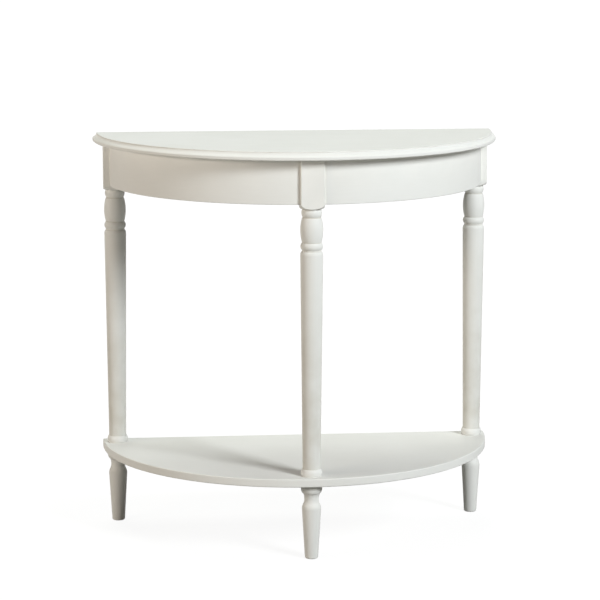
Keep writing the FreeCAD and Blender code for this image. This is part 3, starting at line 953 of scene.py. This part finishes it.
def arris_recess_masks_group(name):
    """Masks for the painted highlight on the arrises and the painted shade in the recesses, broken up so that
    they aren't even lines.
    """
    sheet, given, made = open_group(name, "ShaderNodeTree",
                                    {"Vector": ("Place",), "Float": ("Patchiness",)},
                                    {"Float": ("Arris", "Recess")})
    patches = sheet.clouds(given["Place"], given["Patchiness"], PATCH_DETAIL, THINNEST_PATCH)
    for title, attribute in (("Arris", "arris"), ("Recess", "recess")):
        mask = sheet.wire("ShaderNodeAttribute", None, "Fac", attribute_name=attribute)
        sheet.feed(made[title], mask * patches)
    return sheet.tree


def paint_film_group(name):
    """Satin paint: faint mottling, a painted highlight over the arrises that also stands for thinner paint,
    painted shade in the recesses that also stands for dust, with a fine stipple.
    """
    sheet, given, made = open_group(
        name, "ShaderNodeTree",
        {"Vector": ("Place", "Stretch"), "Color": ("Paint", "Deep Paint", "Thin Paint"),
         "Float": ("Base Roughness",)},
        {"Color": ("Colour",), "Float": ("Roughness", "Height")})
    place = given["Place"]
    deep = given["Deep Paint"]
    grain = sheet.group("Soft Grain", soft_grain_group,
                        {"Place": place, "Stretch": given["Stretch"], "Fineness": PAINT_GRAIN_SCALE})
    painted_light_masks = sheet.group("Handling", arris_recess_masks_group, {"Place": place, "Patchiness": PAINT_PATCH_SCALE})
    mottle = sheet.clouds(place, MOTTLE_SCALE, PATCH_DETAIL)
    stipple = sheet.noise(place, STIPPLE_SCALE, FINE_DETAIL)
    tone = sheet.blend(mottle * MOTTLE_TINT, given["Paint"], deep)
    tone = sheet.blend(grain["Streak"] * STREAK_TINT, tone, deep)
    # Painted shade: recesses, the quirk and the joints darken towards the deep paint, partly as dust
    tone = sheet.blend(painted_light_masks["Recess"] * RECESS_SHADE_TINT, tone, deep)
    # Painted highlight: the arrises lighten towards the thin paint, partly as thinner paint
    sheet.feed(made["Colour"], sheet.blend(painted_light_masks["Arris"] * ARRIS_HIGHLIGHT_TINT, tone, given["Thin Paint"]))
    rough = given["Base Roughness"] + mottle * MOTTLE_ROUGHENS + stipple * STIPPLE_ROUGHENS
    sheet.feed(made["Roughness"], rough - painted_light_masks["Arris"] * ARRIS_SMOOTHS)
    sheet.feed(made["Height"], stipple + grain["Streak"] * STREAK_RAISES)
    return sheet.tree


# Finishes: a bump is given by its strength and depth, a roughness that varies by its range

PAINT_ROUGHNESS = 0.47
PAINT_REFLECTION = 0.22
PAINT_BUMP = (0.12, 0.0004)
BEECH_GRAIN_SCALE = 60.0
BEECH_STREAK_TINT = 0.35
BEECH_FLECK_TINT = 0.55
BEECH_ROUGHNESS = (0.55, 0.70)
BEECH_BUMP = (0.25, 0.0004)
ZINC_PATCH_SCALE = 260.0
ZINC_GRIT_SCALE = 2400.0
ZINC_ROUGHNESS = (0.26, 0.44)
ZINC_BUMP = (0.1, 0.0001)


def opaque(rgb):
    """Colour with full alpha."""
    return (*rgb, 1.0)


def new_material(name, rgb):
    """Material of a colour, the sheet for its nodes and its shader."""
    material = bpy.data.materials.new(name)
    material.use_nodes = True
    material.diffuse_color = opaque(rgb)
    return material, NodeSheet(material.node_tree), material.node_tree.nodes["Principled BSDF"]


def place_on_piece(sheet, attribute=None):
    """Object coordinates, or a vector that is stored on the piece."""
    if attribute:
        return sheet.wire("ShaderNodeAttribute", None, "Vector", attribute_name=attribute)
    return sheet.wire("ShaderNodeTexCoord", None, "Object")


def paint_material(name, colours, stretch, attribute=None):
    """White satin paint over wood. The stretch gives the direction of the grain, in object
    coordinates or in those that an attribute of the piece holds."""
    material, sheet, shader = new_material(name, colours.paint)
    film = sheet.group("Paint Film", paint_film_group, {
        "Place": place_on_piece(sheet, attribute), "Stretch": stretch, "Paint": opaque(colours.paint),
        "Deep Paint": opaque(colours.paint_deep_and_shade), "Thin Paint": opaque(colours.paint_thin_and_highlight),
        "Base Roughness": PAINT_ROUGHNESS})
    sheet.feed_named(shader, {
        "Base Color": film["Colour"],
        "Roughness": film["Roughness"],
        "Specular IOR Level": PAINT_REFLECTION,
        "Normal": sheet.bump(film["Height"], *PAINT_BUMP)})
    return material


def beech_material(name, colours):
    """Bare planed beech with fine streaks and short dark flecks."""
    material, sheet, shader = new_material(name, colours.beech)
    dark = opaque(colours.beech_dark)
    grain = sheet.group("Soft Grain", soft_grain_group, {
        "Place": place_on_piece(sheet), "Stretch": ALONG_X, "Fineness": BEECH_GRAIN_SCALE})
    wood = sheet.blend(grain["Streak"] * BEECH_STREAK_TINT, opaque(colours.beech), dark)
    sheet.feed_named(shader, {
        "Base Color": sheet.blend(grain["Fleck"] * BEECH_FLECK_TINT, wood, dark),
        "Roughness": sheet.spread(grain["Streak"], 0.0, 1.0, *BEECH_ROUGHNESS),
        "Normal": sheet.bump(grain["Streak"], *BEECH_BUMP)})
    return material


def zinc_material(name, colours):
    """Zinc plated steel, dulled in patches."""
    material, sheet, shader = new_material(name, colours.zinc)
    place = place_on_piece(sheet)
    dulled = sheet.clouds(place, ZINC_PATCH_SCALE, RICH_DETAIL)
    sheet.feed_named(shader, {
        "Base Color": sheet.blend(dulled, opaque(colours.zinc), opaque(colours.zinc_dull)),
        "Roughness": sheet.spread(dulled, 0.0, 1.0, *ZINC_ROUGHNESS),
        "Metallic": 1.0,
        "Normal": sheet.bump(sheet.noise(place, ZINC_GRIT_SCALE, FINE_DETAIL), *ZINC_BUMP)})
    return material


FINISHES = {
    "white_paint_boards": (paint_material, ALONG_X),
    "white_paint_turnings": (paint_material, ALONG_Z),
    "white_paint_aprons": (paint_material, ALONG_X, "apron_run"),
    "planed_beech": (beech_material,),
    "zinc_plate": (zinc_material,),
}


def finish(name):
    """Finish of that name, made the first time it is asked for."""
    build, *grain = FINISHES[name]
    return bpy.data.materials.get(name) or build(name, bpy.context.scene.entryway_finishes, *grain)


def coat_nodes(nodes, material):
    """Gives CAD nodes that stay in view their finish."""
    for node in nodes:
        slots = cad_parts[node].data.materials
        slots.clear()
        slots.append(material)


# Operators

class ENTRYWAY_OT_top(bpy.types.Operator):
    """Builds the moulded half-round top"""
    bl_idname = "entryway.top"
    bl_label = "Moulded Top"

    def execute(self, context):
        piece = half_round_top(context.scene.entryway_boards)
        # The quirk of the top gets painted shade
        hand_over(piece, "tabletop", finish("white_paint_boards"), in_quirk)
        return {"FINISHED"}


class ENTRYWAY_OT_shelf(bpy.types.Operator):
    """Builds the half-round shelf"""
    bl_idname = "entryway.shelf"
    bl_label = "Half-Round Shelf"

    def execute(self, context):
        piece = half_round_shelf(context.scene.entryway_boards)
        hand_over(piece, "shelf", finish("white_paint_boards"))
        return {"FINISHED"}


class ENTRYWAY_OT_apron(bpy.types.Operator):
    """Builds the two curved aprons and the back rail"""
    bl_idname = "entryway.apron"
    bl_label = "Aprons and Back Rail"

    def execute(self, context):
        sizes = context.scene.entryway_boards
        for node, side in (("left_apron", -1), ("right_apron", 1)):
            piece = curved_apron("curved_" + node, side, sizes)
            # The aprons get painted shade along their joints with the blocks
            hand_over(piece, node, finish("white_paint_aprons"), at_joint)
        hand_over(plain_rail(sizes), "back_rail", finish("white_paint_boards"))
        return {"FINISHED"}


class ENTRYWAY_OT_legs(bpy.types.Operator):
    """Turns the three legs, with the square block at the top of each"""
    bl_idname = "entryway.legs"
    bl_label = "Turned Legs"

    def execute(self, context):
        turned_pieces("_leg", leg_profile, context.scene.entryway_turnings)
        return {"FINISHED"}


class ENTRYWAY_OT_feet(bpy.types.Operator):
    """Turns the three feet"""
    bl_idname = "entryway.feet"
    bl_label = "Turned Feet"

    def execute(self, context):
        turned_pieces("_foot", foot_profile, context.scene.entryway_turnings)
        return {"FINISHED"}


class ENTRYWAY_OT_joinery(bpy.types.Operator):
    """Finishes the bare blocks, cleats and dowels, and the plated inserts and bolts"""
    bl_idname = "entryway.joinery"
    bl_label = "Blocks, Cleats and Dowels"

    def execute(self, context):
        coat_nodes(("front_corner_block", "rear_left_corner_block", "rear_right_corner_block",
                    "left_apron_cleat", "right_apron_cleat", "back_rail_cleat",
                    "front_dowels", "rear_dowels", "back_rail_dowels"), finish("planed_beech"))
        coat_nodes(("leg_inserts", "hanger_bolts"), finish("zinc_plate"))
        return {"FINISHED"}


class ENTRYWAY_OT_screws(bpy.types.Operator):
    """Sets the screws in the blocks and cleats"""
    bl_idname = "entryway.screws"
    bl_label = "Screws"

    def execute(self, context):
        sizes = context.scene.entryway_screws
        screws_piece("screws_into_top", "top_screws", sizes)
        screws_piece("screws_into_frame", "block_screws", sizes)
        return {"FINISHED"}


# Stage: lamps are placed from the middle of the table, at an azimuth from the front, 90 on the right

FLOOR_HALF = 40.0
FLOOR_DROP = 0.0002
FLOOR_SEEN = (0.95, 0.95, 0.95, 1.0)
WHITE = (1.0, 1.0, 1.0, 1.0)
PICTURE_WIDTH = 36.0
LAMPS = {
    "key": {"azimuth": 40.0, "elevation": 29.0, "distance": 6.0, "width": 1.7, "height": 1.75},
    "fill": {"azimuth": -66.0, "elevation": 14.5, "distance": 3.8, "width": 2.4, "height": 0.9},
    "back": {"azimuth": -160.0, "elevation": 70.0, "distance": 5.5, "width": 3.3, "height": 3.3},
    "rim": {"azimuth": 172.0, "elevation": 2.0, "distance": 3.0, "width": 1.2, "height": 1.2},
}


def seen_ray(sheet):
    """1 for the rays in which a backdrop is looked at, directly, in a reflection or through glass."""
    path = sheet.wires(sheet.add("ShaderNodeLightPath"))
    direct = sheet.maths("MAXIMUM", path["Is Camera Ray"], path["Is Glossy Ray"])
    return sheet.maths("MAXIMUM", direct, path["Is Transmission Ray"])


def floor_material(stage):
    """Pale floor: it lights the table weakly and looks white, with the table's shadow on it."""
    material = bpy.data.materials.new("studio_floor")
    material.use_nodes = True
    sheet = NodeSheet(material.node_tree)
    nodes = material.node_tree.nodes
    nodes.remove(nodes["Principled BSDF"])
    seen = seen_ray(sheet)
    tone = sheet.blend(seen, opaque(stage.floor_colour), FLOOR_SEEN)
    lit = sheet.wire("ShaderNodeBsdfDiffuse", {"Color": tone})
    glow = sheet.wire("ShaderNodeEmission", {"Color": WHITE, "Strength": stage.backdrop_glow})
    away = sheet.wire("ShaderNodeVectorMath", {"Vector": place_on_piece(sheet)}, "Value", operation="LENGTH")
    own = sheet.spread(away, top_radius, top_radius + stage.shadow_reach, stage.backdrop_share, 1.0)
    mixed = sheet.wire("ShaderNodeMixShader", {"Fac": seen * own, "Shader": lit, "Shader_001": glow})
    sheet.feed(nodes["Material Output"].inputs["Surface"], mixed)
    return material


def light_world(stage):
    """Weak light from all round, in a room that looks white."""
    world = bpy.data.worlds.new("studio")
    bpy.context.scene.world = world
    world.use_nodes = True
    sheet = NodeSheet(world.node_tree)
    seen = seen_ray(sheet)
    sheet.feed_named(world.node_tree.nodes["Background"], {
        "Color": sheet.blend(seen, opaque(stage.room_colour), WHITE),
        "Strength": sheet.spread(seen, 0.0, 1.0, stage.room_strength, 1.0)})


def soft_lamp(name, target, watts, rgb, azimuth, elevation, distance, width, height):
    """Soft lamp that points at a target from a direction."""
    around, above = math.radians(azimuth), math.radians(elevation)
    way = Vector((math.sin(around) * math.cos(above), -math.cos(around) * math.cos(above), math.sin(above)))
    lamp = bpy.data.lights.new(name, "AREA")
    lamp.energy = watts
    lamp.color = rgb
    lamp.shape = "RECTANGLE"
    lamp.size = width
    lamp.size_y = height
    obj = bpy.data.objects.new(name, lamp)
    bpy.context.scene.collection.objects.link(obj)
    obj.location = target + way * distance
    obj.rotation_euler = way.to_track_quat("Z", "Y").to_euler()
    obj.visible_camera = False
    return obj


def set_camera(stage):
    """Camera that sees the table from the front, a little from the left and from above."""
    camera = bpy.data.objects.new("camera", bpy.data.cameras.new("camera"))
    bpy.context.scene.collection.objects.link(camera)
    camera.location = stage.camera_place
    camera.rotation_euler = (math.pi / 2 + stage.camera_tilt, 0.0, stage.camera_turn)
    camera.data.sensor_width = PICTURE_WIDTH
    camera.data.lens = stage.camera_lens
    bpy.context.scene.camera = camera


class ENTRYWAY_OT_stage(bpy.types.Operator):
    """Sets up the floor, the lamps and the camera"""
    bl_idname = "entryway.stage"
    bl_label = "Studio Stage"

    def execute(self, context):
        stage = context.scene.entryway_stage
        ground = cad_box[0].z - FLOOR_DROP
        corners = [(x * FLOOR_HALF, y * FLOOR_HALF, ground) for x, y in ((-1, -1), (1, -1), (1, 1), (-1, 1))]
        floor = new_object("floor", corners, [[0, 1, 2, 3]])
        floor.data.materials.append(floor_material(stage))
        middle = (cad_box[0] + cad_box[1]) / 2
        lamps = {name: soft_lamp(name, middle, getattr(stage, name + "_power"),
                                 getattr(stage, name + "_colour"), **place) for name, place in LAMPS.items()}
        lamps["rim"].visible_glossy = False
        light_world(stage)
        set_camera(stage)
        context.scene.view_settings.view_transform = "Standard"
        return {"FINISHED"}


# Panel and registration

OPERATORS = (ENTRYWAY_OT_top, ENTRYWAY_OT_shelf, ENTRYWAY_OT_apron, ENTRYWAY_OT_legs, ENTRYWAY_OT_feet,
             ENTRYWAY_OT_joinery, ENTRYWAY_OT_screws, ENTRYWAY_OT_stage)
SETTINGS = (("entryway_boards", BoardSizes), ("entryway_turnings", TurningSizes),
            ("entryway_screws", ScrewSizes), ("entryway_finishes", FinishColours),
            ("entryway_stage", StageSettings))


class ENTRYWAY_PT_table(bpy.types.Panel):
    """Steps and settings of the half-round entryway table"""
    bl_idname = "ENTRYWAY_PT_table"
    bl_label = "Half-Round Entryway Table"
    bl_space_type = "VIEW_3D"
    bl_region_type = "UI"
    bl_category = "Entryway Table"

    def draw(self, context):
        for operator in OPERATORS:
            self.layout.operator(operator.bl_idname)
        for name, _ in SETTINGS:
            settings = getattr(context.scene, name)
            column = self.layout.box().column()
            for key in settings.__annotations__:
                column.prop(settings, key)


def register():
    for name, kind in SETTINGS:
        bpy.utils.register_class(kind)
        setattr(bpy.types.Scene, name, bpy.props.PointerProperty(type=kind))
    for kind in (*OPERATORS, ENTRYWAY_PT_table):
        bpy.utils.register_class(kind)


def unregister():
    for kind in reversed((*OPERATORS, ENTRYWAY_PT_table)):
        bpy.utils.unregister_class(kind)
    for name, kind in reversed(SETTINGS):
        delattr(bpy.types.Scene, name)
        bpy.utils.unregister_class(kind)


def main():
    register()
    bpy.ops.entryway.top()
    bpy.ops.entryway.shelf()
    bpy.ops.entryway.apron()
    bpy.ops.entryway.legs()
    bpy.ops.entryway.feet()
    bpy.ops.entryway.joinery()
    bpy.ops.entryway.screws()
    bpy.ops.entryway.stage()


if __name__ == "__main__":
    main()
